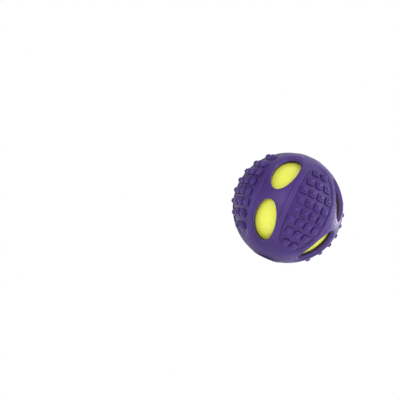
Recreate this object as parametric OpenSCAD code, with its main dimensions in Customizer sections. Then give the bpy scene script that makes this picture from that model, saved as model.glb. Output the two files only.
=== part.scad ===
// Treat dispensing ball: a thick rubber shell with oval windows and gripping
// nubs, and inside it a hollow ball for the treats that turns freely.
// Millimetres, +Z up, origin at the ball's centre. The ball stands on the raised
// ring round the opening at either pole. Windows face X and Y, nubs face the
// four diagonals.

/* [Shell] */
// Diameter of the shell over its smooth parts
ball_d = 80; // [72:1:95]
// Thickness of the rubber wall
shell_wall = 4.6; // [3.8:0.1:6]
// Diameter of the raised flat ring that the ball stands on
pole_ring_d = 19.2; // [18.8:0.2:24]
// Height of that ring's outer edge above the smooth surface
pole_ring_rise = 0.4; // [0.2:0.1:1]
// Width of the slope between the ring's edge and the smooth surface
pole_ring_slope = 1.4; // [1:0.1:2.5]
// Diameter of the round opening at each pole
pole_opening_d = 15; // [11:0.5:16]
// Bevel on the outer edge of that opening
pole_bevel = 0.7; // [0.3:0.1:0.9]

/* [Windows] */
// Length of an oval window, from pole side to seam side
window_l = 32; // [24:0.2:33]
// Width of an oval window
window_w = 17.4; // [12:0.2:18]
// Rubber left between the two windows of a pair, across the seam
window_web = 9.2; // [7.2:0.2:11.2]
// Width of the shallow field that holds a pair of windows
field_w = 21.6; // [20:0.2:24]
// Height of that field, from pole side to pole side
field_h = 69; // [66:0.5:72]
// Depth of the field below the smooth surface
field_depth = 0.4; // [0.2:0.1:0.8]

/* [Nub panels] */
// Width of a panel of nubs
panel_w = 29.4; // [28:0.2:32]
// Height of a panel of nubs
panel_h = 64.8; // [62:0.2:68]
// Depth of the panel's floor below the smooth surface
panel_depth = 1; // [0.6:0.1:1.2]
// Height step from one row of nubs to the next
nub_row_step = 7.8; // [7.4:0.1:8.4]
// Distance between neighbouring nubs of a row, along the surface
nub_step = 7.1; // [6.8:0.1:7.5]
// Width of a nub's block at the panel's floor
nub_block_w = 5.9; // [5.7:0.1:6.3]
// Width of that block at its flat top
nub_block_top_w = 5.5; // [4.8:0.1:5.6]
// Height of the block above the smooth surface
nub_block_rise = 0.1; // [0.1:0.1:0.8]
// Width of the small boss on each block, at its foot
nub_boss_w = 3.6; // [3:0.1:4.4]
// Width of the boss at its flat top
nub_boss_top_w = 2.4; // [2:0.1:3]
// Height of the boss above the smooth surface
nub_boss_rise = 1.5; // [1.1:0.1:2.2]

/* [Treat ball] */
// Gap all round between the treat ball and the shell, which lets it turn
running_gap = 0.4; // [0.3:0.05:0.8]
// Wall of the treat ball
core_wall = 2.4; // [1.8:0.1:3.5]
// Diameter of the round port at each end, where treats go in and fall out
port_d = 14; // [11:0.5:15]
// Wall of the collar that stands inwards round the port
collar_wall = 1.8; // [1.2:0.1:2.5]
// How far the collar reaches into the treat ball
collar_l = 5; // [3:0.5:9]
// Width of the thickened rim along the treat ball's seam, inside its wall
rim_w = 1.8; // [1:0.1:3]
// Height of that rim on each half
rim_h = 3.4; // [2.4:0.1:5]

/* [Seams] */
// Thickness of the tongue that locates one half in the other
tongue_w = 1.4; // [1:0.1:1.8]
// Height of the tongue
tongue_h = 1.2; // [0.6:0.1:1.5]
// Glue gap round the tongue in its groove
glue_gap = 0.1; // [0.05:0.05:0.15]

/* [Hidden] */

// Counts of the pattern: four pairs of windows, and four panels between them
quarters = 4;
quarter_turn = 360 / quarters;
right_angle = 90;
// Nubs in each row of a panel, from the seam to the pole
nubs_in_row = [4, 4, 3, 2];
// How full the ends of the field and panel outlines are: 2 is an ellipse
end_fullness = 2.45;
// Corners cut off a square nub, as a share of its half width
nub_corner_share = 0.3;
// How far cutting tools run past what they cut, and joined pieces into it
overrun = 1;
outline_points = 48;
round_facets = 128;

ball_r = ball_d / 2;
shell_in_r = ball_r - shell_wall;
pole_opening_r = pole_opening_d / 2;
// The raised ring slopes from its flat, at pole_z, to its foot on the surface
pole_ring_r = pole_ring_d / 2;
pole_z = sqrt(ball_r * ball_r - pole_ring_r * pole_ring_r) + pole_ring_rise;
ring_foot_r = pole_ring_r + pole_ring_slope;
ring_foot_z = sqrt(ball_r * ball_r - ring_foot_r * ring_foot_r);
field_r = ball_r - field_depth;
panel_r = ball_r - panel_depth;
// Latitude of a window's middle, so that half the web stays on each side
window_lat = asin(window_web / 2 / ball_r) + asin(window_l / 2 / ball_r);

core_r = shell_in_r - running_gap;
core_in_r = core_r - core_wall;
port_r = port_d / 2;
collar_r = port_r + collar_wall;
collar_z = sqrt(core_in_r * core_in_r - collar_r * collar_r) - collar_l;
rim_in_r = core_in_r - rim_w;

// The tongue sits in the middle of each wall at its seam
shell_tongue_r = (shell_in_r + min(field_r, panel_r)) / 2;
core_tongue_r = (rim_in_r + core_r) / 2;

function oval(length, width) = [
    for (i = [0 : outline_points - 1])
        let (turn = 360 * i / outline_points)
        [length / 2 * cos(turn), width / 2 * sin(turn)]
];

function full_oval(length, width) = [
    for (i = [0 : outline_points - 1])
        let (turn = 360 * i / outline_points)
        let (along = pow(abs(cos(turn)), 2 / end_fullness) * sign(cos(turn)))
        [length / 2 * along, width / 2 * sin(turn)]
];

// Outline of a square nub with its corners cut, at one height
function nub_ring(width, z) =
    let (half_w = width / 2, cut = half_w * (1 - nub_corner_share))
    [
        [half_w, -cut, z], [half_w, cut, z], [cut, half_w, z], [-cut, half_w, z],
        [-half_w, cut, z], [-half_w, -cut, z], [-cut, -half_w, z], [cut, -half_w, z]
    ];

// Runs an outline outwards from inside the shell, along a latitude on +X
module radial_tool(outline, latitude) {
    rotate([0, right_angle - latitude, 0])
        translate([0, 0, shell_in_r / 2])
            linear_extrude(height = ball_r)
                polygon(outline);
}

// Shallow field round each pair of windows
module window_fields() {
    for (i = [0 : quarters - 1])
        rotate([0, 0, quarter_turn * i])
            difference() {
                radial_tool(full_oval(field_h, field_w), 0);
                sphere(r = field_r, $fn = round_facets);
            }
}

// Shallow floor of each panel of nubs
module panel_floors() {
    for (i = [0 : quarters - 1])
        rotate([0, 0, quarter_turn * (i + 1 / 2)])
            difference() {
                radial_tool(full_oval(panel_h, panel_w), 0);
                sphere(r = panel_r, $fn = round_facets);
            }
}

module window_cuts() {
    for (i = [0 : quarters - 1])
        rotate([0, 0, quarter_turn * i])
            radial_tool(oval(window_l, window_w), window_lat);
}

// One nub: a square block, rooted below the panel's floor, with a boss on it
module nub() {
    root_depth = panel_depth + overrun;
    flare = (nub_block_w - nub_block_top_w) / (panel_depth + nub_block_rise);
    sides = 8;
    rings = [
        nub_ring(nub_block_w + flare * overrun, ball_r - root_depth),
        nub_ring(nub_block_top_w, ball_r + nub_block_rise),
        nub_ring(nub_boss_w, ball_r + nub_block_rise),
        nub_ring(nub_boss_top_w, ball_r + nub_boss_rise)
    ];
    last = len(rings) - 1;
    polyhedron(
        points = [for (ring = rings) each ring],
        faces = concat(
            [[for (k = [0 : sides - 1]) k]],
            [[for (k = [0 : sides - 1]) (last + 1) * sides - 1 - k]],
            [for (ring = [0 : last - 1], k = [0 : sides - 1])
                let (near = ring * sides, next = (k + 1) % sides)
                [near + k, near + sides + k, near + sides + next, near + next]]
        )
    );
}

// Nubs of the upper half: rows step up in height and columns stay parallel
module nubs() {
    step_turn = nub_step / ball_r * 180 / PI;
    for (i = [0 : quarters - 1])
        for (row = [0 : len(nubs_in_row) - 1]) {
            latitude = asin((row + 1 / 2) * nub_row_step / ball_r);
            count = nubs_in_row[row];
            for (k = [0 : count - 1]) {
                across = (k - (count - 1) / 2) * step_turn / cos(latitude);
                rotate([0, 0, quarter_turn * (i + 1 / 2) + across])
                    rotate([0, right_angle - latitude, 0])
                        nub();
            }
        }
}

// Removes everything below the seam plane
module below_seam() {
    reach = ball_r + nub_boss_rise + overrun;
    translate([0, 0, -reach])
        cylinder(r = reach, h = reach, $fn = round_facets);
}

// Ring on the seam plane: the tongue, or with a gap the groove that takes it
module seam_ring(middle_r, gap, depth) {
    translate([0, 0, -depth])
        difference() {
            cylinder(r = middle_r + tongue_w / 2 + gap,
                     h = tongue_h + gap + depth, $fn = round_facets);
            translate([0, 0, -overrun])
                cylinder(r = middle_r - tongue_w / 2 - gap,
                         h = tongue_h + gap + depth + 2 * overrun, $fn = round_facets);
        }
}

// Raised ring at the pole, rooted below the smooth surface and not yet cut flat
module pole_ring() {
    flare = pole_ring_slope * overrun / (pole_z - ring_foot_z);
    translate([0, 0, ring_foot_z - overrun])
        cylinder(r1 = ring_foot_r + flare, r2 = pole_ring_r - flare,
                 h = pole_z - ring_foot_z + 2 * overrun, $fn = round_facets);
}

// Opening at the pole, bevelled where it meets the raised ring
module pole_opening() {
    cylinder(r = pole_opening_r, h = ball_r + overrun, $fn = round_facets);
    translate([0, 0, pole_z - pole_bevel])
        cylinder(r1 = pole_opening_r, r2 = pole_opening_r + pole_bevel + overrun,
                 h = pole_bevel + overrun, $fn = round_facets);
}

// Removes everything above the flat that the ball stands on
module above_flat() {
    translate([0, 0, pole_z])
        cylinder(r = ball_r, h = ball_r, $fn = round_facets);
}

// Upper cup of the shell, flat on the seam plane
module shell_cup() {
    difference() {
        union() {
            difference() {
                sphere(r = ball_r, $fn = round_facets);
                window_fields();
                panel_floors();
            }
            nubs();
            pole_ring();
        }
        sphere(r = shell_in_r, $fn = round_facets);
        window_cuts();
        pole_opening();
        above_flat();
        below_seam();
    }
}

// Room for treats inside the treat ball, less the rim and the port's collar
module treat_room() {
    difference() {
        sphere(r = core_in_r, $fn = round_facets);
        difference() {
            cylinder(r = core_r, h = 2 * rim_h, center = true, $fn = round_facets);
            cylinder(r = rim_in_r, h = 2 * (rim_h + overrun), center = true,
                     $fn = round_facets);
        }
        translate([0, 0, collar_z])
            cylinder(r = collar_r, h = core_r, $fn = round_facets);
    }
}

// Upper cup of the treat ball, flat on the seam plane
module treat_cup() {
    difference() {
        sphere(r = core_r, $fn = round_facets);
        treat_room();
        cylinder(r = port_r, h = core_r + overrun, $fn = round_facets);
        below_seam();
    }
}

module shell_upper() {
    color("#5B468A")
        difference() {
            shell_cup();
            seam_ring(shell_tongue_r, glue_gap, overrun);
        }
}

module shell_lower() {
    color("#5B468A")
        union() {
            mirror([0, 0, 1])
                shell_cup();
            seam_ring(shell_tongue_r, 0, overrun / 2);
        }
}

module treat_ball_upper() {
    color("#E6EA5A")
        difference() {
            treat_cup();
            seam_ring(core_tongue_r, glue_gap, overrun);
        }
}

module treat_ball_lower() {
    color("#E6EA5A")
        union() {
            mirror([0, 0, 1])
                treat_cup();
            seam_ring(core_tongue_r, 0, overrun / 2);
        }
}

shell_upper();
shell_lower();
treat_ball_upper();
treat_ball_lower();
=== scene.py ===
# %% [markdown]
# # A treat dispensing ball
# This chew toy is two hollow balls, one inside the other. The outer one is a
# thick shell of moulded purple rubber, with four pairs of oval windows, four
# panels of square nubs and an opening at each pole. The inner one is a ball of
# lemon-yellow plastic that holds the treats and turns freely in the shell.
#
# The CAD model is the fixed frame: it says how large each half is and where it
# sits. Here each half is modelled again with the soft edges, fillets and
# finishes that a moulded thing has, in the same place and size.

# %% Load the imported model
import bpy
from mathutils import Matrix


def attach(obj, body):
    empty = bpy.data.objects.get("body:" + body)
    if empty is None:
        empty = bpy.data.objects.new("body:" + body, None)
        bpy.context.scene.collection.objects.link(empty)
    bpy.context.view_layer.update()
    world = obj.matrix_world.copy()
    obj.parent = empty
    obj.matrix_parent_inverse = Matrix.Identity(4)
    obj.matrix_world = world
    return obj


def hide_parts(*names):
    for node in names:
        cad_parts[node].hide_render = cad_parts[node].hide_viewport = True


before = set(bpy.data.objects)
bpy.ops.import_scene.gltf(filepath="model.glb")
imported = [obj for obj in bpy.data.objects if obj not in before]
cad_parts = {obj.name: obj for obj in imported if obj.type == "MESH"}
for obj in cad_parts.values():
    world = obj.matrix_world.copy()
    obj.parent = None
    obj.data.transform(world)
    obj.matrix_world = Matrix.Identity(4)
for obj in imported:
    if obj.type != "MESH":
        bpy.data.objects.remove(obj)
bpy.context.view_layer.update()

# %% [markdown]
# ## Millimetres
# Blender works in metres. The sizes below are in millimetres, as a maker would
# measure them, and are multiplied by MM where a mesh or a pattern needs them.

# %% Blender's modules, and millimetres
import math

import bmesh
import bpy
import numpy as np
from mathutils import Matrix, Vector

MM = 0.001
print("Blender", bpy.app.version_string)

# %% [markdown]
# ## The camera
# The ball leans to the right in the picture and is seen from a little below its
# middle. A long lens from 1.5 m away keeps the view nearly parallel, as it is
# in the picture. The camera is placed by three angles: how far it goes round
# the ball, how high it stands and how much it is rolled. The ball isn't in the
# middle of the picture, so the camera then looks a little past it. Turning the
# camera does that without shift, which other views would keep.

# %% Camera
PICTURE_PX = 400
BALL_IN_PICTURE_PX = (287.9, 207.85)
CAMERA_ROUND = math.radians(20.8)
CAMERA_UP = math.radians(-7.7)
CAMERA_ROLL = math.radians(23.9)
CAMERA_FAR = 1.5
LENS_MM = 186.4
SENSOR_MM = 36
SEEN_FROM, SEEN_TO = 0.05, 20

towards_camera = Vector((
    math.sin(CAMERA_ROUND) * math.cos(CAMERA_UP),
    -math.cos(CAMERA_ROUND) * math.cos(CAMERA_UP),
    math.sin(CAMERA_UP),
))
level_look = (-towards_camera).to_track_quat("-Z", "Y").to_matrix().to_4x4()
rolled_look = level_look @ Matrix.Rotation(CAMERA_ROLL, 4, "Z")

lens_px = LENS_MM / SENSOR_MM * PICTURE_PX
look_left = math.atan((BALL_IN_PICTURE_PX[0] - PICTURE_PX / 2) / lens_px)
look_above = math.atan((BALL_IN_PICTURE_PX[1] - PICTURE_PX / 2) / lens_px)
aim = Matrix.Rotation(look_left, 4, "Y") @ Matrix.Rotation(look_above, 4, "X")

bpy.ops.object.camera_add()
camera = bpy.context.object
camera.name = "camera"
camera.matrix_world = Matrix.Translation(towards_camera * CAMERA_FAR) @ rolled_look @ aim
camera.data.lens = LENS_MM
camera.data.sensor_width = SENSOR_MM
camera.data.clip_start = SEEN_FROM
camera.data.clip_end = SEEN_TO
bpy.context.scene.camera = camera
picture_axes = rolled_look.to_3x3()
print("camera at", [round(v, 3) for v in camera.location])

# %% [markdown]
# ## Small helpers
# Edit-mode operators act on everything that is selected, so each step starts by
# deselecting all and taking up one object alone. Booleans and other modifiers
# are applied at once, so that what is left is plain mesh.

# %% Helpers for one piece at a time
def take_up(piece):
    """Makes this the only selected object, and the active one."""
    bpy.ops.object.select_all(action="DESELECT")
    piece.select_set(True)
    bpy.context.view_layer.objects.active = piece


def named(name):
    """Names the object that was just made, and takes it up."""
    piece = bpy.context.object
    piece.name = name
    piece.data.name = name
    take_up(piece)
    return piece


def apply_modifier(piece, kind, **settings):
    """Adds one modifier and applies it."""
    take_up(piece)
    step = piece.modifiers.new(kind.lower(), kind)
    for setting, value in settings.items():
        setattr(step, setting, value)
    bpy.ops.object.modifier_apply(modifier=step.name)


def combine(piece, tool, operation):
    """Joins or cuts a piece with a tool, and clears the tool away."""
    apply_modifier(piece, "BOOLEAN", operation=operation, object=tool, solver="MANIFOLD")
    bpy.data.objects.remove(tool)

# %% [markdown]
# ## Copies and measures
# Each copy gets a mesh of its own, so it can be cut without changing the first
# one. Mirroring turns faces inside out, so they are flipped back. The number of
# triangles and the volume show after each step whether it went well.

# %% Copies and measures
def copy_of(piece, name):
    """A copy with its own mesh."""
    twin = piece.copy()
    twin.data = piece.data.copy()
    twin.name = name
    twin.data.name = name
    bpy.context.collection.objects.link(twin)
    return twin


def mirrored(piece, name):
    """A copy mirrored through the seam, with its faces pointing outwards again."""
    twin = copy_of(piece, name)
    take_up(twin)
    bpy.ops.object.mode_set(mode="EDIT")
    bpy.ops.mesh.select_all(action="SELECT")
    bpy.ops.transform.mirror(constraint_axis=(False, False, True), center_override=(0, 0, 0))
    bpy.ops.mesh.flip_normals()
    bpy.ops.object.mode_set(mode="OBJECT")
    return twin


def triangles(piece):
    return sum(len(face.vertices) - 2 for face in piece.data.polygons)


def volume_mm3(piece):
    """Volume of a closed piece. It is negative if the faces point inwards."""
    shape = bmesh.new()
    shape.from_mesh(piece.data)
    volume = shape.calc_volume(signed=True) / MM**3
    shape.free()
    return volume

# %% [markdown]
# ## The shell's sizes
# These are the CAD model's own sizes, in millimetres, but the nubs' corners are
# a little crisper. The last four lines are soft edges that only a moulding has.

# %% Sizes of the shell
BALL_R = 40
SHELL_IN_R = 35.4
FIELD_HALF_H, FIELD_HALF_W, FIELD_DEPTH = 34.5, 10.8, 0.4
PANEL_HALF_H, PANEL_HALF_W, PANEL_DEPTH = 32.4, 14.7, 1
END_FULLNESS = 2.45
WINDOW_HALF_L, WINDOW_HALF_W, WINDOW_WEB = 16, 8.7, 9.2
WINDOW_LAT = math.asin(WINDOW_WEB / 2 / BALL_R) + math.asin(WINDOW_HALF_L / BALL_R)
NUB_ROW_STEP, NUB_STEP, NUBS_IN_ROW = 7.8, 7.1, (4, 4, 3, 2)
BLOCK_W, BLOCK_TOP_W, BLOCK_RISE = 5.9, 5.5, 0.1
BOSS_W, BOSS_TOP_W, BOSS_RISE = 3.6, 2.4, 1.5
NUB_CORNER = 0.25
RING_R, RING_RISE, RING_SLOPE = 9.6, 0.4, 1.4
OPENING_R, OPENING_BEVEL = 7.5, 0.7
TONGUE_W, TONGUE_H, GLUE_GAP = 1.4, 1.2, 0.1
SHELL_TONGUE_R = (SHELL_IN_R + BALL_R - PANEL_DEPTH) / 2
RING_Z = math.sqrt(BALL_R**2 - RING_R**2) + RING_RISE

SHOULDER_W, END_SHOULDER_W, SOFT_END_FROM = 2.2, 5.5, 24
CREASE_DEPTH, CREASE_W = 0.2, 0.3
RIM_W, RIM_DROP = 1.8, 0.9
RING_ROUND = 0.3

print("windows at", round(math.degrees(WINDOW_LAT), 1), "degrees of latitude, rings at",
      round(RING_Z, 2), "mm")

# %% [markdown]
# ## The shell's relief
# Apart from its nubs, the shell's outside is one sphere whose surface stands a
# little higher or lower from place to place: shallow fields round the windows,
# sunk panels between them, a raised ring at each pole. So it is modelled as a
# relief. A function gives the height of the surface in any direction, and later
# a Displace modifier pushes each point of a fine sphere out to it.
#
# The pattern repeats in every quarter and is mirrored in it, so each direction
# is first folded into one eighth of a half. Corners between two surfaces are
# rounded by a soft minimum, and hollows are filleted by a soft maximum.

# %% Folding and rounding
def soft_min(a, b, width):
    near = np.maximum(width - np.abs(a - b), 0) / width
    return np.minimum(a, b) - near**2 * width / 4


def soft_max(a, b, width):
    return -soft_min(-a, -b, width)


def folded(directions, middle):
    """Directions folded into one eighth beside a meridian on the X axis."""
    quarter = math.pi / 2
    longitude = np.arctan2(directions[:, 1], directions[:, 0]) - middle
    longitude = np.abs((longitude + quarter / 2) % quarter - quarter / 2)
    flat = np.hypot(directions[:, 0], directions[:, 1])
    return flat * np.cos(longitude), flat * np.sin(longitude), np.abs(directions[:, 2])


print("the corner of a ring is taken down by", -soft_min(0, 0, RING_ROUND), "mm")

# %% [markdown]
# ## Distances from the outlines
# An outline such as the field's is a full oval. Its equation is 1 on the
# outline, so the equation minus 1, divided by how fast it changes along the
# surface, is close to the distance from the outline in millimetres. Near the
# middle that fails, so there a distance well inside the outline stands in.

# %% Distance from a full oval
NOT_ZERO, LEAST_PULL = 1e-6, 1e-9
MIDDLE = 0.3


def beyond_oval(side, up, half_h, half_w):
    """Millimetres outside the oval, along the surface: negative inside it."""
    along, across = up * BALL_R / half_h, side * BALL_R / half_w
    level = np.sqrt(along**END_FULLNESS + across**2) + NOT_ZERO
    pull_up = END_FULLNESS * along**(END_FULLNESS - 1) / half_h
    pull_side = 2 * across / half_w
    outwards = pull_up * up + pull_side * side
    pull = np.sqrt(np.maximum(pull_up**2 + pull_side**2 - outwards**2, LEAST_PULL))
    distance = (level - 1) * 2 * level / pull
    return np.where(level < MIDDLE, -half_w / 2, distance)


def beyond_window(forward, side, up):
    """Millimetres outside the window, across the way that it is cut."""
    north = -math.sin(WINDOW_LAT) * forward + math.cos(WINDOW_LAT) * up
    floor_r = BALL_R - FIELD_DEPTH
    along, across = north * floor_r / WINDOW_HALF_L, side * floor_r / WINDOW_HALF_W
    level = np.sqrt(along**2 + across**2) + NOT_ZERO
    pull = 2 * np.sqrt((along / WINDOW_HALF_L)**2 + (across / WINDOW_HALF_W)**2) + NOT_ZERO
    distance = (level - 1) * 2 * level / pull
    return np.where(level < MIDDLE, -WINDOW_HALF_W / 2, distance)


beside_field = beyond_oval((FIELD_HALF_W + 1) / BALL_R, 0, FIELD_HALF_H, FIELD_HALF_W)
print("1 mm beside the field comes out as", beside_field.round(2), "mm")

# %% [markdown]
# ## Sunk floors
# A field or a panel is a floor a little below the ball's surface. Beside it the
# rubber rises in a rounded shoulder, steep at its foot and nearly level at its
# top, and the foot has a fine crease. Towards the ends of a panel the shoulder
# grows wider and flatter and the crease fades, as in the picture.

# %% Depth of a sunk floor
SHOULDER_POWER, END_SHOULDER_POWER = 4, 2.5


def sunk(distance, depth, end=0):
    """Depth of a floor and its shoulder, at a distance outside the outline.

    End goes from 0 to 1 where the shoulder grows wider and loses its crease.
    """
    shoulder = SHOULDER_W + end * (END_SHOULDER_W - SHOULDER_W)
    power = SHOULDER_POWER + end * (END_SHOULDER_POWER - SHOULDER_POWER)
    rise = 1 - (1 - np.clip(distance / shoulder, 0, 1))**power
    crease = CREASE_DEPTH * (1 - end) * np.exp(-(distance / CREASE_W)**2)
    return depth * (1 - rise) + crease


print("depth 0, 1 and 2 mm beside a panel:", sunk(np.arange(3), PANEL_DEPTH).round(2), "mm")

# %% [markdown]
# ## The raised ring at a pole
# The ball stands on a low flat ring round the pole's opening. Its top is a
# plane, its foot slopes down to the ball, and its mouth is bevelled. Each of
# these surfaces is a plane or a cone about the Z axis, so its radius in a given
# direction is its height over a sum of sines and cosines.

# %% Relief at the poles
NEAR_POLE, LEAST_UPRIGHT, LEAST_MOUTH = 0.93, 0.5, 0.3
MOUTH_DEPTH = 1.2 * OPENING_BEVEL


def with_pole_ring(radius, directions):
    """The relief with a raised ring and a bevelled mouth at each pole."""
    upright, flat = np.abs(directions[:, 2]), np.hypot(directions[:, 0], directions[:, 1])
    foot_r = RING_R + RING_SLOPE
    foot_z = math.sqrt(BALL_R**2 - foot_r**2)
    fall = (RING_Z - foot_z) / RING_SLOPE
    at_pole = upright > NEAR_POLE
    upright = np.maximum(upright, LEAST_UPRIGHT)
    slope = (RING_Z + fall * RING_R) / (upright + fall * flat)
    ring = soft_min(RING_Z / upright, slope, RING_ROUND)
    radius = np.where(at_pole, soft_max(radius, ring, RING_ROUND), radius)
    mouth_r = OPENING_R + OPENING_BEVEL
    mouth = (RING_Z - mouth_r) / np.maximum(upright - flat, LEAST_MOUTH)
    mouth = np.maximum(mouth, RING_Z - MOUTH_DEPTH)
    capped = soft_min(np.minimum(radius, RING_Z / upright), mouth, RING_ROUND)
    return np.where(at_pole, capped, radius)

# %% [markdown]
# ## The whole relief
# A sphere, less the fields, with the rims of the windows rounded down, less the
# panels, and with the raised ring at each pole.

# %% Relief of the shell
WINDOW_SIDE = 0.5


def relief(directions):
    """Radius of the shell's outside in each direction, in millimetres."""
    forward, side, up = folded(directions, 0)
    radius = np.full(len(directions), float(BALL_R))
    radius -= sunk(beyond_oval(side, up, FIELD_HALF_H, FIELD_HALF_W), FIELD_DEPTH)

    to_edge = beyond_window(forward, side, up)
    facing = forward * math.cos(WINDOW_LAT) + up * math.sin(WINDOW_LAT) > WINDOW_SIDE
    rim = np.where(facing, (1 - np.clip(to_edge / RIM_W, 0, 1))**2, 0)
    radius -= RIM_DROP * rim

    forward, side, up = folded(directions, math.pi / 4)
    end = np.clip((up * BALL_R - SOFT_END_FROM) / (PANEL_HALF_H - SOFT_END_FROM), 0, 1)
    radius -= sunk(beyond_oval(side, up, PANEL_HALF_H, PANEL_HALF_W), PANEL_DEPTH, end)
    return with_pole_ring(radius, directions)


web_panel_pole = np.array([(1, 0, 0), (math.sqrt(0.5), math.sqrt(0.5), 0), (0, 0, 1)])
print("radius on a web, a panel and the pole, mm:", relief(web_panel_pole).round(2))

# %% [markdown]
# ## Dividing where it is steep
# A sphere as fine all over as its creases need has nearly a million triangles.
# So a face is divided only where the relief differs between its corners, and
# Cast then puts the new points back on the sphere. Going through the points one
# by one is slow, so foreach_get and foreach_set handle them all at once.

# %% Divide where the relief is steep
BASE_R = 38


def on_sphere(piece, radius):
    apply_modifier(
        piece, "CAST", cast_type="SPHERE", factor=1, size=radius * MM, radius=0,
        use_radius_as_size=False,
    )


def points_mm(piece):
    points = np.empty(len(piece.data.vertices) * 3)
    piece.data.vertices.foreach_get("co", points)
    return points.reshape(-1, 3) / MM


def relief_at_points(piece):
    points = points_mm(piece)
    return relief(points / np.linalg.norm(points, axis=1)[:, None])


def divide_where_steeper(piece, height_change):
    """Divides the faces over which the relief changes by more than this."""
    height = relief_at_points(piece)
    corners = np.empty(len(piece.data.loops), dtype=int)
    first = np.empty(len(piece.data.polygons), dtype=int)
    piece.data.loops.foreach_get("vertex_index", corners)
    piece.data.polygons.foreach_get("loop_start", first)
    at_corners = height[corners]
    change = np.maximum.reduceat(at_corners, first) - np.minimum.reduceat(at_corners, first)
    take_up(piece)
    bpy.ops.object.mode_set(mode="EDIT")
    bpy.ops.mesh.select_mode(type="FACE")
    bpy.ops.mesh.select_all(action="DESELECT")
    bpy.ops.object.mode_set(mode="OBJECT")
    piece.data.polygons.foreach_set("select", change > height_change)
    bpy.ops.object.mode_set(mode="EDIT")
    bpy.ops.mesh.subdivide(number_cuts=1)
    bpy.ops.object.mode_set(mode="OBJECT")
    on_sphere(piece, BASE_R)
    print("divided to", triangles(piece), "triangles")

# %% [markdown]
# ## The fine sphere
# A cube turned into a sphere has nearly square faces everywhere and no poles.
# It starts coarse and is divided twice over. The creases and the windows' rims
# end with faces a fifth of a millimetre wide.

# %% Sphere for the relief
CUBE_CUTS = 67
DIVIDED_ABOVE = (0.05, 0.06)

bpy.ops.mesh.primitive_cube_add(size=2 * BASE_R * MM, rotation=(0, 0, math.pi / 4))
shell_form = named("shell_form")
bpy.ops.object.transform_apply(rotation=True)
bpy.ops.object.mode_set(mode="EDIT")
bpy.ops.mesh.subdivide(number_cuts=CUBE_CUTS)
bpy.ops.transform.tosphere(value=1)
bpy.ops.object.mode_set(mode="OBJECT")
on_sphere(shell_form, BASE_R)
for height_change in DIVIDED_ABOVE:
    divide_where_steeper(shell_form, height_change)

# %% [markdown]
# ## Pushing the sphere out
# Displace moves each point along its normal, by its weight in a vertex group.
# The weight is the share of the furthest push that this point needs. Then the
# faces are split into triangles, because a bent one can't be cut cleanly.

# %% Push the sphere out to the relief
PUSH = 4

height = relief_at_points(shell_form)
print("lowest and highest point of the relief, mm:", height.min().round(2), height.max().round(2))
share = (height - BASE_R) / PUSH
pushed = shell_form.vertex_groups.new(name="pushed")
for point, weight in enumerate(share.tolist()):
    pushed.add([point], weight, "REPLACE")
apply_modifier(
    shell_form, "DISPLACE", direction="NORMAL", vertex_group="pushed",
    strength=PUSH * MM, mid_level=0,
)
shell_form.vertex_groups.clear()
take_up(shell_form)
bpy.ops.object.mode_set(mode="EDIT")
bpy.ops.mesh.select_all(action="SELECT")
bpy.ops.mesh.quads_convert_to_tris(quad_method="BEAUTY", ngon_method="BEAUTY")
bpy.ops.object.mode_set(mode="OBJECT")

# %% [markdown]
# ## Turned forms
# Everything round in this ball can be turned on a lathe: the treat ball's
# halves, and the tongues that join the seams. The outline is drawn point by
# point with Extrude, closed, and spun once round the Z axis. Spin can leave the
# faces inside out. On a thick-walled cup the usual recalculation can take the
# inside for the outside, so the sign of the volume tells whether to flip them.

# %% Lathe
TURNS = 160
SAME_POINT = 0.001


def arc(centre, radius, start, end, steps):
    """Points of an arc in (radius, height), angles in degrees from outwards."""
    for step in range(steps + 1):
        angle = math.radians(start + (end - start) * step / steps)
        yield centre[0] + radius * math.cos(angle), centre[1] + radius * math.sin(angle)


def turned(name, outline):
    """A closed outline of (radius, height) in millimetres, spun round Z."""
    outline = list(outline)
    bpy.ops.mesh.primitive_plane_add(size=MM)
    piece = named(name)
    bpy.ops.object.mode_set(mode="EDIT")
    bpy.ops.mesh.select_mode(type="VERT")
    bpy.ops.mesh.select_all(action="SELECT")
    bpy.ops.mesh.merge(type="CENTER")
    first = outline[0]
    bpy.ops.transform.translate(value=(first[0] * MM, 0, first[1] * MM))
    at = first
    for radius, height in outline[1:] + [first]:
        step = ((radius - at[0]) * MM, 0, (height - at[1]) * MM)
        bpy.ops.mesh.extrude_vertices_move(TRANSFORM_OT_translate={"value": step})
        at = (radius, height)
    bpy.ops.mesh.select_all(action="SELECT")
    bpy.ops.mesh.remove_doubles(threshold=SAME_POINT * MM)
    bpy.ops.mesh.spin(steps=TURNS, angle=2 * math.pi, center=(0, 0, 0), axis=(0, 0, 1))
    bpy.ops.mesh.select_all(action="SELECT")
    bpy.ops.mesh.remove_doubles(threshold=SAME_POINT * MM)
    bpy.ops.mesh.normals_make_consistent(inside=False)
    bpy.ops.object.mode_set(mode="OBJECT")
    if volume_mm3(piece) < 0:
        bpy.ops.object.mode_set(mode="EDIT")
        bpy.ops.mesh.flip_normals()
        bpy.ops.object.mode_set(mode="OBJECT")
    return piece

# %% [markdown]
# ## Cutting the shell open
# One tool takes out everything that a half of the shell isn't: the round room
# for the treat ball, four oval windows, the pole's opening and the other half
# of space. The windows are oval prisms that point at the ball's centre from
# their own latitude, so their walls are parallel, as a mould's slides leave
# them.

# %% Tool for one half
FACETS = 128
TOOL_L = BALL_R
TOOL_AT = (0, 0, 0.8 * BALL_R * MM)
SPACE_W = 3 * BALL_R


def round_tool(name, radius):
    """An upright cylinder that reaches from inside the ball to outside it."""
    bpy.ops.mesh.primitive_cylinder_add(
        vertices=FACETS, radius=radius * MM, depth=TOOL_L * MM, location=TOOL_AT)
    tool = named(name)
    bpy.ops.object.transform_apply(location=True)
    return tool


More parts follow.
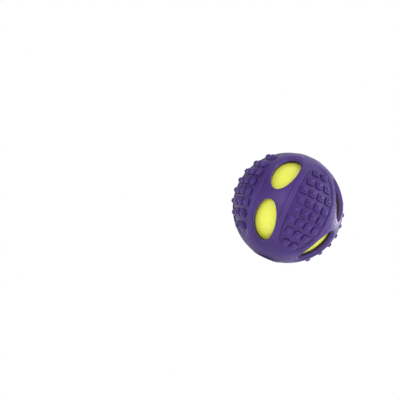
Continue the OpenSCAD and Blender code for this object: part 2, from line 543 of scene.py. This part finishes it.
def window_tool(longitude):
    """An oval prism that cuts one window."""
    tool = round_tool("window_tool", radius=1)
    bpy.ops.object.mode_set(mode="EDIT")
    bpy.ops.mesh.select_all(action="SELECT")
    bpy.ops.transform.resize(value=(WINDOW_HALF_L, WINDOW_HALF_W, 1), center_override=(0, 0, 0))
    bpy.ops.object.mode_set(mode="OBJECT")
    tool.rotation_euler = (0, math.pi / 2 - WINDOW_LAT, longitude)
    bpy.ops.object.transform_apply(rotation=True)
    return tool


bpy.ops.mesh.primitive_uv_sphere_add(
    segments=FACETS, ring_count=FACETS // 2, radius=SHELL_IN_R * MM)
half_tool = named("half_tool")
for quarter in range(4):
    combine(half_tool, window_tool(quarter * math.pi / 2), "UNION")
combine(half_tool, round_tool("opening_tool", OPENING_R), "UNION")

bpy.ops.mesh.primitive_cube_add(size=SPACE_W * MM, location=(0, 0, -SPACE_W / 2 * MM))
space_tool = named("space_tool")
bpy.ops.object.transform_apply(location=True)
combine(half_tool, space_tool, "UNION")
print("tool for one half:", triangles(half_tool), "triangles")

# %% [markdown]
# ## Picking faces and edges
# By hand, the top of a block is picked with a click. A script picks it by its
# shape instead: the faces that look up, or the edges that stand upright. They
# are selected in object mode, and edit mode then takes the selection over.

# %% Select by shape
UPWARDS = 0.9


def select_faces(piece, wanted):
    """In edit mode, selects just the faces that this says yes to."""
    bpy.ops.mesh.select_all(action="DESELECT")
    bpy.ops.object.mode_set(mode="OBJECT")
    for face in piece.data.polygons:
        face.select = wanted(face)
    bpy.ops.object.mode_set(mode="EDIT")
    bpy.ops.mesh.select_mode(type="FACE")


def select_edges(piece, wanted):
    """In edit mode, selects just the edges whose two ends this says yes to."""
    bpy.ops.mesh.select_mode(type="EDGE")
    bpy.ops.mesh.select_all(action="DESELECT")
    bpy.ops.object.mode_set(mode="OBJECT")
    points = piece.data.vertices
    for edge in piece.data.edges:
        edge.select = wanted(points[edge.vertices[0]].co, points[edge.vertices[1]].co)
    bpy.ops.object.mode_set(mode="EDIT")


def looks_up(face):
    return face.normal.z > UPWARDS

# %% [markdown]
# ## One nub
# A nub is a square block with rounded corners and a smaller boss on it. Teeth
# catch on the bosses. It is modelled once, standing on the Z axis: a cube is
# tapered, its corners are bevelled, and the boss is inset and extruded from its
# top. The walls are nearly upright and their feet stay crisp, because that is
# where the picture shows dark lines.

# %% One nub
NUB_ROOT = 1
CORNER_STEPS = 4
NUB_EDGE_ROUND, NUB_EDGE_STEPS, NUB_EDGE_ANGLE = 0.15, 3, math.radians(35)


def nub_form():
    """One nub on the Z axis, rooted in the shell's wall."""
    top_z, floor_z = BALL_R + BLOCK_RISE, BALL_R - PANEL_DEPTH
    flare = (BLOCK_W - BLOCK_TOP_W) / (top_z - floor_z)
    root_w = BLOCK_W + flare * NUB_ROOT
    height = top_z - floor_z + NUB_ROOT
    bpy.ops.mesh.primitive_cube_add(
        size=MM, scale=(root_w, root_w, height), location=(0, 0, (top_z - height / 2) * MM))
    nub = named("nub")
    bpy.ops.object.transform_apply(location=True, scale=True)
    bpy.ops.object.mode_set(mode="EDIT")
    bpy.ops.mesh.select_mode(type="FACE")
    select_faces(nub, looks_up)
    bpy.ops.transform.resize(value=(BLOCK_TOP_W / root_w, BLOCK_TOP_W / root_w, 1))
    corner = NUB_CORNER * BLOCK_W
    select_edges(nub, lambda a, b: abs(a.z - b.z) > height / 2 * MM)
    bpy.ops.mesh.bevel(offset=corner * MM, segments=CORNER_STEPS, affect="EDGES")
    select_faces(nub, looks_up)
    bpy.ops.mesh.inset(thickness=(BLOCK_TOP_W - BOSS_W) / 2 * MM)
    bpy.ops.mesh.extrude_region_move(
        TRANSFORM_OT_translate={"value": (0, 0, (BOSS_RISE - BLOCK_RISE) * MM)})
    bpy.ops.transform.resize(value=(BOSS_TOP_W / BOSS_W, BOSS_TOP_W / BOSS_W, 1))
    bpy.ops.object.mode_set(mode="OBJECT")
    apply_modifier(
        nub, "BEVEL", width=NUB_EDGE_ROUND * MM, segments=NUB_EDGE_STEPS,
        limit_method="ANGLE", angle_limit=NUB_EDGE_ANGLE)
    return nub


first_nub = nub_form()
print("one nub:", triangles(first_nub), "triangles")

# %% [markdown]
# ## All the nubs
# Each half has four panels of thirteen nubs, in rows along its circles of
# latitude. Each nub is a copy with its own mesh, turned to its place about the
# ball's middle. Joined to one object, they need only one boolean.

# %% All the nubs of one half
def nub_places():
    """Longitude and latitude of each nub of the upper half."""
    for quarter in range(4):
        for row, count in enumerate(NUBS_IN_ROW):
            latitude = math.asin((row + 0.5) * NUB_ROW_STEP / BALL_R)
            step = NUB_STEP / BALL_R / math.cos(latitude)
            for k in range(count):
                across = (k - (count - 1) / 2) * step
                yield (quarter + 0.5) * math.pi / 2 + across, latitude


nubs = []
for longitude, latitude in nub_places():
    nubs.append(copy_of(first_nub, "nub_copy"))
    nubs[-1].rotation_euler = (0, math.pi / 2 - latitude, longitude)
bpy.data.objects.remove(first_nub)
bpy.ops.object.select_all(action="DESELECT")
for nub in nubs:
    nub.select_set(True)
bpy.context.view_layer.objects.active = nubs[0]
bpy.ops.object.transform_apply(rotation=True)
bpy.ops.object.join()
all_nubs = named("all_nubs")
print(len(nubs), "nubs,", triangles(all_nubs), "triangles")

# %% [markdown]
# ## The two halves of the shell
# The upper half is cut from the relief and gets its nubs, and the lower half is
# its mirror image. Then the upper half gets a groove, and the lower half the
# tongue that locates it. The same function joins the treat ball later.

# %% Halves of the shell
TONGUE_ROOT, GROOVE_ROOT = 0.5, 1


def seam_ring(middle_r, gap, root):
    """A ring on the seam: the tongue, or with a gap the tool for its groove."""
    inside, outside = middle_r - TONGUE_W / 2 - gap, middle_r + TONGUE_W / 2 + gap
    top = TONGUE_H + gap
    return turned("seam_ring", [(inside, -root), (outside, -root), (outside, top), (inside, top)])


def join_by_tongue(upper, lower, middle_r):
    """Cuts the groove in the upper half, and adds the tongue to the lower one."""
    combine(upper, seam_ring(middle_r, GLUE_GAP, GROOVE_ROOT), "DIFFERENCE")
    combine(lower, seam_ring(middle_r, 0, TONGUE_ROOT), "UNION")


combine(shell_form, half_tool, "DIFFERENCE")
combine(shell_form, all_nubs, "UNION")
shell_upper = shell_form
shell_upper.name = shell_upper.data.name = "rubber_shell_upper"
shell_lower = mirrored(shell_upper, "rubber_shell_lower")
join_by_tongue(shell_upper, shell_lower, SHELL_TONGUE_R)
print("the halves hold", round(volume_mm3(shell_upper)), "and", round(volume_mm3(shell_lower)),
      "cubic mm")

# %% [markdown]
# ## Closing each piece
# Where a cut passes just beside an edge it leaves points almost on top of each
# other. The faces are divided into triangles, the points are merged, and slivers
# with no width are dissolved, so the mesh that a printer or a viewer gets is
# closed. The number of open edges should then be none, and the volume close to
# that of the CAD model's half.

# %% Close and smooth
SHARP_EDGE = math.radians(50)
SLIVER_W = 0.002


def close_up(piece):
    take_up(piece)
    bpy.ops.object.mode_set(mode="EDIT")
    bpy.ops.mesh.select_all(action="SELECT")
    bpy.ops.mesh.quads_convert_to_tris(quad_method="BEAUTY", ngon_method="BEAUTY")
    bpy.ops.mesh.remove_doubles(threshold=SLIVER_W * MM)
    bpy.ops.mesh.dissolve_degenerate(threshold=SLIVER_W * MM)
    bpy.ops.mesh.select_mode(type="EDGE")
    bpy.ops.mesh.select_all(action="DESELECT")
    bpy.ops.mesh.select_non_manifold()
    bpy.ops.object.mode_set(mode="OBJECT")
    open_edges = sum(edge.select for edge in piece.data.edges)
    bpy.ops.object.shade_smooth_by_angle(angle=SHARP_EDGE)
    print(piece.name, "has", triangles(piece), "triangles,", open_edges, "open edges and",
          round(volume_mm3(piece)), "cubic mm")


for half in (shell_upper, shell_lower):
    close_up(half)

# %% [markdown]
# ## Marking the nubs' walls for painted shade
# The steep walls of the nubs' blocks are painted darker than the flats beside
# them, as painted shade. So each face of the shell carries a mark from 0 to 1:
# how steeply it stands, measured from the direction outwards. The windows' walls
# lie lower than the blocks and the bosses higher, and both are left at 0. A
# panel's shoulder is as steep at its foot, so it is marked and shaded there too.

# %% Mark the steep faces
NUB_WALL_SHADE = "nub_wall_shade"
LEAST_STEEP, MOST_STEEP = 0.75, 0.4
MARK_INSET = 0.05
BLOCK_HEIGHTS = (BALL_R - PANEL_DEPTH + MARK_INSET, BALL_R + BLOCK_RISE - MARK_INSET)


def mark_steep_faces(piece):
    """Writes how steeply each face at the blocks' height stands, for painted shade."""
    faces = piece.data.polygons
    centres, normals = np.empty((2, len(faces) * 3))
    faces.foreach_get("center", centres)
    faces.foreach_get("normal", normals)
    centres, normals = centres.reshape(-1, 3), normals.reshape(-1, 3)
    from_centre = np.linalg.norm(centres, axis=1)
    outwards = (centres * normals).sum(axis=1) / from_centre
    steep = np.clip((outwards - LEAST_STEEP) / (MOST_STEEP - LEAST_STEEP), 0, 1)
    lowest, highest = BLOCK_HEIGHTS
    steep[(from_centre < lowest * MM) | (from_centre > highest * MM)] = 0
    marks = piece.data.attributes.new(NUB_WALL_SHADE, "FLOAT", "FACE")
    marks.data.foreach_set("value", steep)
    print(piece.name, "has", (steep > 0).sum(), "marked faces of", len(faces))


for half in (shell_upper, shell_lower):
    mark_steep_faces(half)

# %% [markdown]
# ## The treat ball
# Each half of the yellow ball is a cup with a round port at its pole. A collar
# stands inwards round the port and makes the treats fall out slowly, and a
# thickened rim stiffens the seam. The whole cup is one turned outline: up the
# outside from the seam, over the port's soft edge, down the collar, along the
# inside and over the rim.

# %% Halves of the treat ball
CORE_R, CORE_IN_R = 35, 32.6
PORT_R, COLLAR_R, COLLAR_L = 7, 8.8, 5
RIM_IN_R, RIM_H = 30.8, 3.4
CORE_TONGUE_R = (RIM_IN_R + CORE_R) / 2
SEAM_BEVEL, EDGE_ROUND, INNER_ROUND = 0.15, 0.5, 0.4
COLLAR_Z = math.sqrt(CORE_IN_R**2 - COLLAR_R**2) - COLLAR_L
OUTSIDE_STEPS, EDGE_STEPS, BEAD_STEPS, INSIDE_STEPS = 60, 5, 10, 40
AFTER_WALL_DEG, ABOVE_RIM_DEG = 5, 0.5


def cup_outline():
    """Outline of the upper cup, with a flat seam face."""
    yield CORE_R - SEAM_BEVEL, 0
    start = math.degrees(math.asin(SEAM_BEVEL / CORE_R))
    port_edge = PORT_R + EDGE_ROUND
    end = math.degrees(math.acos(port_edge / CORE_R))
    yield from arc((0, 0), CORE_R, start, end, OUTSIDE_STEPS)
    edge_z = CORE_R * math.sin(math.radians(end)) - EDGE_ROUND
    yield from arc((port_edge, edge_z), EDGE_ROUND, end + AFTER_WALL_DEG, 180, EDGE_STEPS)
    bead = (COLLAR_R - PORT_R) / 2
    yield from arc((PORT_R + bead, COLLAR_Z + bead), bead, 180, 360, BEAD_STEPS)
    inner_top = math.degrees(math.acos((COLLAR_R + INNER_ROUND) / CORE_IN_R))
    yield COLLAR_R, CORE_IN_R * math.sin(math.radians(inner_top)) - INNER_ROUND
    rim_top = math.degrees(math.asin(RIM_H / CORE_IN_R))
    yield from arc((0, 0), CORE_IN_R, inner_top, rim_top + ABOVE_RIM_DEG, INSIDE_STEPS)
    yield RIM_IN_R + INNER_ROUND, RIM_H
    yield RIM_IN_R, RIM_H - INNER_ROUND
    yield RIM_IN_R, 0


cup_upper = turned("treat_cup_upper", cup_outline())
cup_lower = mirrored(cup_upper, "treat_cup_lower")
join_by_tongue(cup_upper, cup_lower, CORE_TONGUE_R)
for half in (cup_upper, cup_lower):
    close_up(half)

# %% [markdown]
# ## Node helpers for the materials
# Colours are written as the sRGB hex values that a colour picker shows, and one
# function turns them to the linear values that the shader works in. One more
# adds a node with its settings and links, and gives back what the node puts
# out. A pattern's scale is worked out from the real width of its blotches.
# Some nodes name several inputs alike, so those are told by number.

# %% Colours and nodes
NOISE, RANGE, MIX = "ShaderNodeTexNoise", "ShaderNodeMapRange", "ShaderNodeMix"
MATH, VECTOR, BUMP = "ShaderNodeMath", "ShaderNodeVectorMath", "ShaderNodeBump"
VALUE, FROM_MIN, FROM_MAX, TO_MIN, TO_MAX = range(5)
FACTOR, UNDER, OVER = 0, 6, 7
SMOOTH = {"interpolation_type": "SMOOTHSTEP"}


def linear(hex_colour):
    """sRGB hex to linear RGBA."""
    parts = [int(hex_colour[i:i + 2], 16) / 255 for i in (1, 3, 5)]
    return (*[p / 12.92 if p <= 0.04045 else ((p + 0.055) / 1.055)**2.4 for p in parts], 1)


def blotches(width_mm):
    """Noise scale for blotches about this many millimetres wide."""
    return 1 / (width_mm * MM)


def add_node(tree, kind, links=None, **settings):
    """Adds a node and returns its output.

    Links maps an input to a value, or to the output of another node.
    """
    node = tree.nodes.new(kind)
    for setting, value in settings.items():
        setattr(node, setting, value)
    for socket, value in (links or {}).items():
        if isinstance(value, bpy.types.NodeSocket):
            tree.links.new(value, node.inputs[socket])
        else:
            node.inputs[socket].default_value = value
    return next(output for output in node.outputs if output.enabled)


def start_material(name):
    """A new material: its node tree, its main shader and its Object coordinates."""
    material = bpy.data.materials.new(name)
    material.use_nodes = True
    tree = material.node_tree
    coordinates = tree.nodes.new("ShaderNodeTexCoord").outputs["Object"]
    return material, tree, tree.nodes["Principled BSDF"], coordinates


print("a picker's mid grey, #808080, is", round(linear("#808080")[0], 3), "to the shader")

# %% [markdown]
# ## Layers of colour
# A moulded surface gets its colour in layers, like thin paint. Each layer has a
# pattern that says how much of it shows, from its weakest to its strongest
# share, and a region outside which it fades out. The patterns change smoothly,
# so a layer ends in a clear line only where a wall meets a flat.

# %% Layers
EVERYWHERE = 1.0


def layered_colour(tree, base, layers):
    """Lays colours over a base: (region, pattern, low, high, weakest, strongest, colour)."""
    colour = linear(base)
    for region, pattern, low, high, weakest, strongest, shade in layers:
        share = add_node(tree, RANGE, {
            VALUE: pattern, FROM_MIN: low, FROM_MAX: high, TO_MIN: weakest,
            TO_MAX: strongest}, **SMOOTH)
        share = add_node(tree, MATH, {0: share, 1: region}, operation="MULTIPLY")
        colour = add_node(
            tree, MIX, {FACTOR: share, UNDER: colour, OVER: linear(shade)}, data_type="RGBA")
    return colour

# %% [markdown]
# ## Moulded rubber
# The shell is pressed from dyed natural rubber in a steel mould that was
# roughened with spark erosion. That gives an even satin face with a very fine
# grain, soft clouds where the dye is denser, and darker flecks. Biting polishes
# and pales the bosses. The deepest flats, the sunk panels' floors and creases,
# are painted darker as painted shade, and the marked walls of the nubs darker
# still. The windows' walls are painted paler near the rim, as painted light.
# Further in they are painted dark brown, as painted shade in the gap round the
# yellow ball, which draws a dark line round it. How far a point stands from the
# ball's centre tells the other regions apart. The real grain is too fine to
# show, so it is drawn half a millimetre wide.

# %% Rubber
BOSS_HEIGHTS = (41.1, 41.5)
HOLLOW_SHADE_HEIGHTS = (39.4, 38.85)
WINDOW_WALL_LIGHT_HEIGHTS = (38.9, 38.5)
INNER_WALL_SHADE_HEIGHTS = (37.5, 36.7)
BOSS_POLISH = 0.08


def moulded_rubber():
    material, tree, shader, coordinates = start_material("moulded_natural_rubber")
    from_centre = add_node(tree, VECTOR, {0: coordinates}, operation="LENGTH")
    clouds, patches, specks, grain, waves = [
        add_node(tree, NOISE, {
            "Vector": coordinates, "Scale": blotches(width), "Detail": detail,
            "Roughness": roughness})
        for width, detail, roughness in (
            (16, 3, 0.5), (2.6, 4, 0.6), (0.7, 3, 0.6), (0.5, 3, 0.65), (6, 2, 0.5))
    ]
    # bands of height: worn boss tops, and where painted shade and painted light go
    tops, hollows, walls, inner_wall_shade = [
        add_node(tree, RANGE, {
            VALUE: from_centre, FROM_MIN: start * MM, FROM_MAX: end * MM}, **SMOOTH)
        for start, end in (BOSS_HEIGHTS, HOLLOW_SHADE_HEIGHTS, WINDOW_WALL_LIGHT_HEIGHTS, INNER_WALL_SHADE_HEIGHTS)
    ]
    marked = tree.nodes.new("ShaderNodeAttribute")
    marked.attribute_name = NUB_WALL_SHADE
    colour = layered_colour(tree, "#402470", (
        (EVERYWHERE, clouds, 0.35, 0.65, 0, 1, "#472A7A"),
        (EVERYWHERE, specks, 0.5, 0.72, 0, 0.3, "#351F60"),
        (tops, patches, 0.42, 0.66, 0.05, 0.35, "#543C88"),
        # painted shade: the deepest flats, the panels' floors and their creases, are darker
        (hollows, patches, 0.38, 0.7, 0.1, 0.4, "#28144F"),
        # painted shade: the nubs' steep walls are darker still
        (marked.outputs["Fac"], patches, 0.38, 0.7, 0.35, 0.9, "#180A40"),
        # painted light: the windows' walls are paler near the rim
        (walls, patches, 0.3, 0.7, 0.75, 0.95, "#5A42A2"),
        # painted shade: the windows' walls are dark brown further in, round the yellow ball
        (inner_wall_shade, patches, 0.3, 0.7, 0.7, 0.95, "#22142A"),
    ))
    tree.links.new(colour, shader.inputs["Base Color"])

    satin = add_node(tree, RANGE, {
        VALUE: patches, FROM_MIN: 0.3, FROM_MAX: 0.7, TO_MIN: 0.36, TO_MAX: 0.48}, **SMOOTH)
    polish = add_node(tree, MATH, {0: tops, 1: BOSS_POLISH}, operation="MULTIPLY")
    roughness = add_node(tree, MATH, {0: satin, 1: polish}, operation="SUBTRACT")
    tree.links.new(roughness, shader.inputs["Roughness"])
    fine = add_node(tree, BUMP, {"Height": grain, "Strength": 0.35, "Distance": 0.05 * MM})
    soft = add_node(tree, BUMP, {
        "Height": waves, "Strength": 0.3, "Distance": 0.2 * MM, "Normal": fine})
    tree.links.new(soft, shader.inputs["Normal"])
    shader.inputs["IOR"].default_value = 1.52
    shader.inputs["Specular IOR Level"].default_value = 0.35
    shader.inputs["Sheen Weight"].default_value = 0.04
    shader.inputs["Sheen Roughness"].default_value = 0.4
    shader.inputs["Sheen Tint"].default_value = linear("#C8BCE8")
    print(material.name, "has", len(tree.nodes), "nodes")
    return material

# %% [markdown]
# ## Moulded plastic
# The treat ball is moulded in lemon-yellow polypropylene: smooth and half
# glossy, with a faint orange peel. Light goes a little way into it, which keeps
# its shadows warm. It rubs on the shell as it turns, so it has fine scuffs.

# %% Plastic
def moulded_plastic():
    material, tree, shader, coordinates = start_material("moulded_polypropylene")
    clouds, scuffs, peel = [
        add_node(tree, NOISE, {
            "Vector": coordinates, "Scale": blotches(width), "Detail": detail,
            "Roughness": roughness})
        for width, detail, roughness in ((14, 2, 0.5), (1.1, 5, 0.7), (1.8, 2, 0.5))
    ]
    colour = layered_colour(tree, "#E8EC4E", (
        (EVERYWHERE, clouds, 0.35, 0.65, 0, 1, "#EFF25A"),
        (EVERYWHERE, scuffs, 0.58, 0.74, 0, 0.2, "#F4F58E"),
    ))
    tree.links.new(colour, shader.inputs["Base Color"])
    dulled = add_node(tree, RANGE, {
        VALUE: scuffs, FROM_MIN: 0.4, FROM_MAX: 0.75, TO_MIN: 0.22, TO_MAX: 0.42}, **SMOOTH)
    tree.links.new(dulled, shader.inputs["Roughness"])
    orange_peel = add_node(tree, BUMP, {
        "Height": peel, "Strength": 0.2, "Distance": 0.05 * MM})
    tree.links.new(orange_peel, shader.inputs["Normal"])
    shader.inputs["IOR"].default_value = 1.49
    shader.inputs["Subsurface Weight"].default_value = 0.15
    shader.inputs["Subsurface Radius"].default_value = (1.0, 1.0, 0.25)
    shader.inputs["Subsurface Scale"].default_value = 1.5 * MM
    print(material.name, "has", len(tree.nodes), "nodes")
    return material

# %% [markdown]
# ## Finish the pieces, and tie them to the frame
# Each half is given its material and is tied to the body it rides on, and the
# CAD node that it stands for is hidden. The shell's halves are glued and ride
# together, and so do the cups, which turn in the shell.

# %% Finish the pieces, and tie them to the frame
rubber, plastic = moulded_rubber(), moulded_plastic()

for piece, node, body, slot, material in (
    (shell_upper, "shell_upper", "shell", "shell_rubber", rubber),
    (shell_lower, "shell_lower", "shell", "shell_rubber", rubber),
    (cup_upper, "treat_ball_upper", "treat_ball", "treat_ball_plastic", plastic),
    (cup_lower, "treat_ball_lower", "treat_ball", "treat_ball_plastic", plastic),
):
    piece.data.materials.clear()
    piece.data.materials.append(material)
    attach(piece, body)
    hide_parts(node)
    print(piece.name, "rides on", body, "for", node)

# %% [markdown]
# ## The floor
# A plain pale floor lies under the ring that the ball stands on. It glows a
# little, as paper on a bright table does, so the ball's underside isn't black.
# The picture's camera looks from just below it, so it shows from above only: its
# back is see-through.

# %% Floor
FLOOR_W = 6

bpy.ops.mesh.primitive_plane_add(size=FLOOR_W, location=(0, 0, -RING_Z * MM))
floor = named("floor")
paper, tree, shader, _ = start_material("pale_paper_floor")
shader.inputs["Base Color"].default_value = linear("#BFBFBF")
shader.inputs["Roughness"].default_value = 0.9
shader.inputs["Emission Color"].default_value = linear("#FFFFFF")
shader.inputs["Emission Strength"].default_value = 0.6
clear = add_node(tree, "ShaderNodeBsdfTransparent")
from_below = tree.nodes.new("ShaderNodeNewGeometry").outputs["Backfacing"]
one_sided = add_node(
    tree, "ShaderNodeMixShader", {0: from_below, 1: shader.outputs[0], 2: clear})
tree.links.new(one_sided, tree.nodes["Material Output"].inputs["Surface"])
floor.data.materials.append(paper)
print("the floor lies at", round(-RING_Z, 3), "mm")

# %% [markdown]
# ## Soft studio light
# A white room lights the ball from all sides, which leaves the gaps between the
# nubs dark, because they see little of it. It is dimmer on the left, where the
# picture's ball turns darker. A large soft lamp at the right of the picture, and
# a little above, darkens the nubs' left walls by contrast. A weak lamp in front
# gives the broad sheen, and one behind on the right the pale edge.

# %% Lamps
def lamp(name, right_up_near, distance, size, watts):
    """A square soft lamp, placed by the picture's own axes and aimed at the ball."""
    towards = (picture_axes @ Vector(right_up_near)).normalized()
    bpy.ops.object.light_add(type="AREA", location=towards * distance)
    light = bpy.context.object
    light.name = name
    light.rotation_euler = towards.to_track_quat("Z", "Y").to_euler()
    light.data.size = size
    light.data.energy = watts
    print(name, "at", [round(v, 2) for v in light.location])


lamp("key_light", (0.92, 0.3, 0.25), distance=1.0, size=0.8, watts=3.4)
lamp("front_light", (-0.3, 0.25, 0.92), distance=1.0, size=0.5, watts=3)
lamp("rim_light", (0.74, -0.14, -0.66), distance=0.8, size=0.2, watts=1.9)

# %% [markdown]
# ## The white room
# The world is the room. Its brightness falls smoothly towards the dim side, by
# the angle between that side and the direction that is looked in. The lens
# itself sees plain white behind the ball, as in the picture.

# %% Room
DIM_SIDE = Vector((-1, 0.15, -0.1)).normalized()
ROOM_LIGHT, DIM_SIDE_LIGHT = 0.86, 0.3
DIMMEST_FROM = 0.9

world = bpy.data.worlds.new("white_room")
world.use_nodes = True
bpy.context.scene.world = world
tree = world.node_tree
lit = tree.nodes["Background"]
lit.inputs["Color"].default_value = (1, 1, 1, 1)
direction = tree.nodes.new("ShaderNodeTexCoord").outputs["Generated"]
to_dim_side = add_node(
    tree, VECTOR, {0: direction, 1: picture_axes @ DIM_SIDE}, operation="DOT_PRODUCT")
strength = add_node(tree, RANGE, {
    VALUE: to_dim_side, FROM_MIN: 0, FROM_MAX: DIMMEST_FROM, TO_MIN: ROOM_LIGHT,
    TO_MAX: DIM_SIDE_LIGHT}, **SMOOTH)
tree.links.new(strength, lit.inputs["Strength"])
seen = add_node(tree, "ShaderNodeBackground", {"Color": (1, 1, 1, 1), "Strength": 1.0})
to_eye = tree.nodes.new("ShaderNodeLightPath").outputs["Is Camera Ray"]
room = add_node(tree, "ShaderNodeMixShader", {0: to_eye, 1: lit.outputs[0], 2: seen})
tree.links.new(room, tree.nodes["World Output"].inputs["Surface"])

bpy.context.scene.view_settings.view_transform = "Standard"
bpy.context.scene.view_settings.look = "None"
print("the room has", len(tree.nodes), "nodes")
